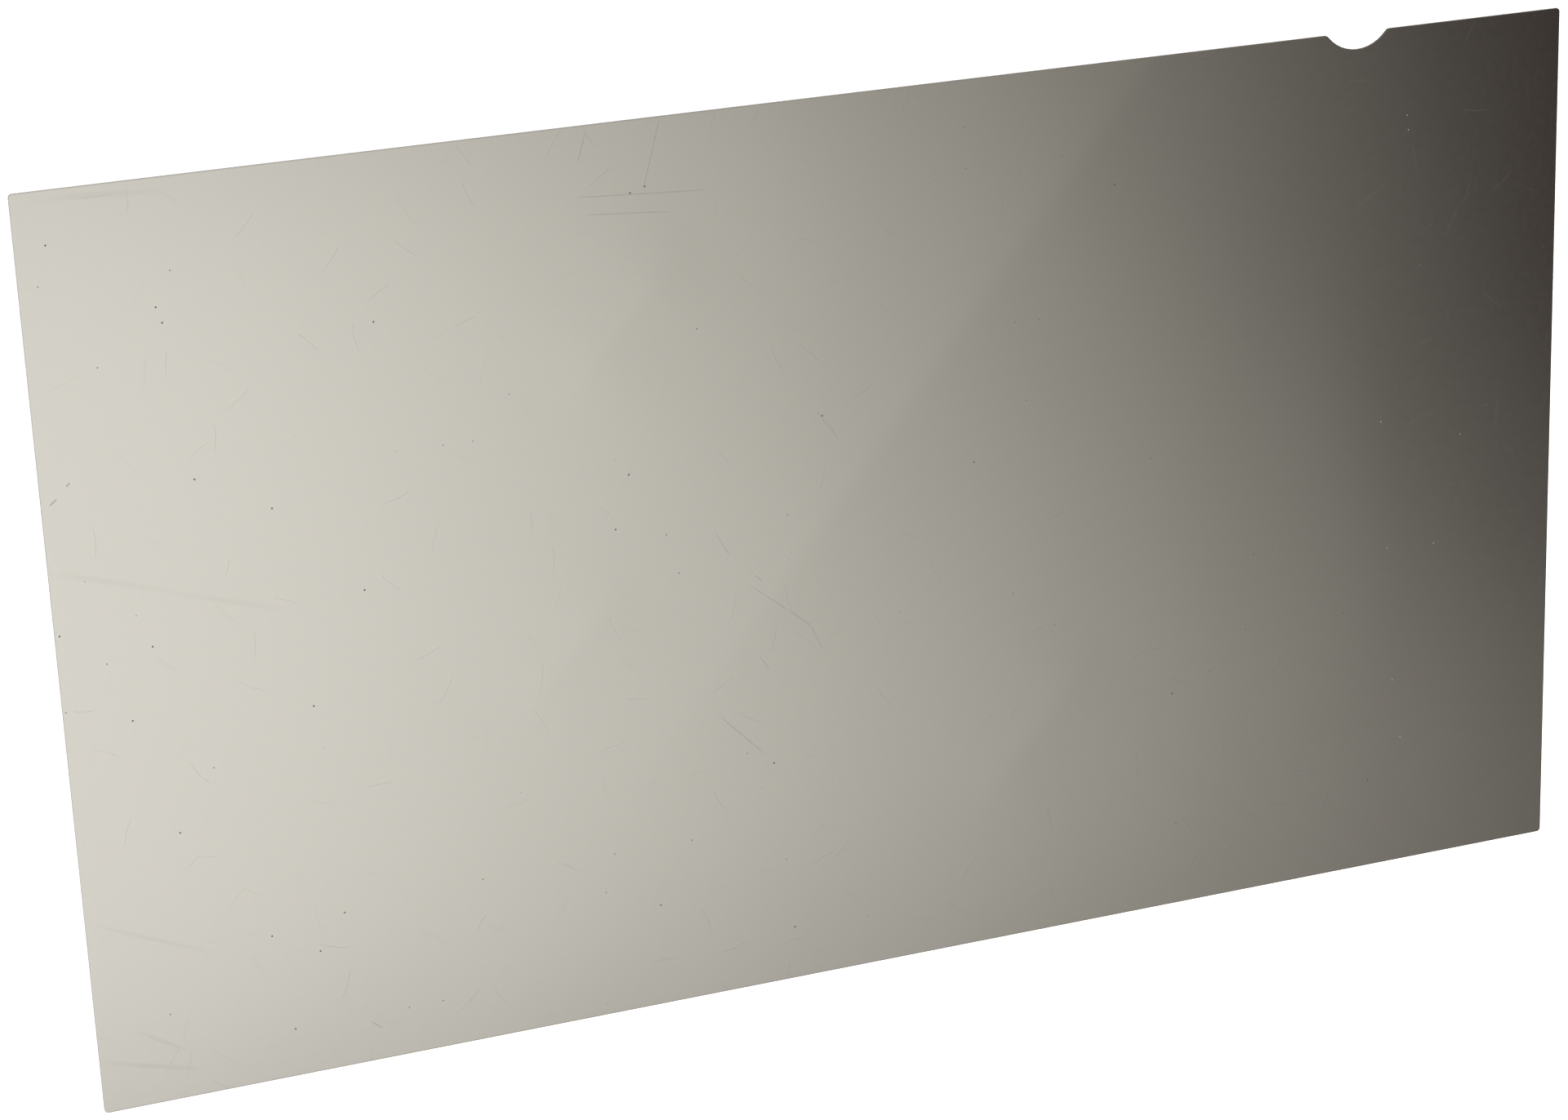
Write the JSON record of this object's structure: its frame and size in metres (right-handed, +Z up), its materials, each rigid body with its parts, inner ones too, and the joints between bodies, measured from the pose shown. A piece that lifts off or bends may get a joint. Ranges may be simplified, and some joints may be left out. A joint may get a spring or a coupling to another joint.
{
  "type": "monitor privacy filter",
  "caption": "Flat rectangular sheet of dark satin louvre film with rounded corners and a finger notch in one long edge, laid over a widescreen monitor to narrow its viewing angle.",
  "frame": {"origin": "under the middle of the sheet, on the face that it lies on", "axes": "+X along the long side towards the notched end, +Y towards the notched long edge, +Z up through the front face"},
  "size_m": [0.531, 0.299, 0.0005],
  "materials": {
    "louvre_film": "brown-black polyester louvre film with a fine satin anti-glare face"
  },
  "bodies": {
    "root": {"filter_sheet": "louvre_film"}
  },
  "joints": []
}
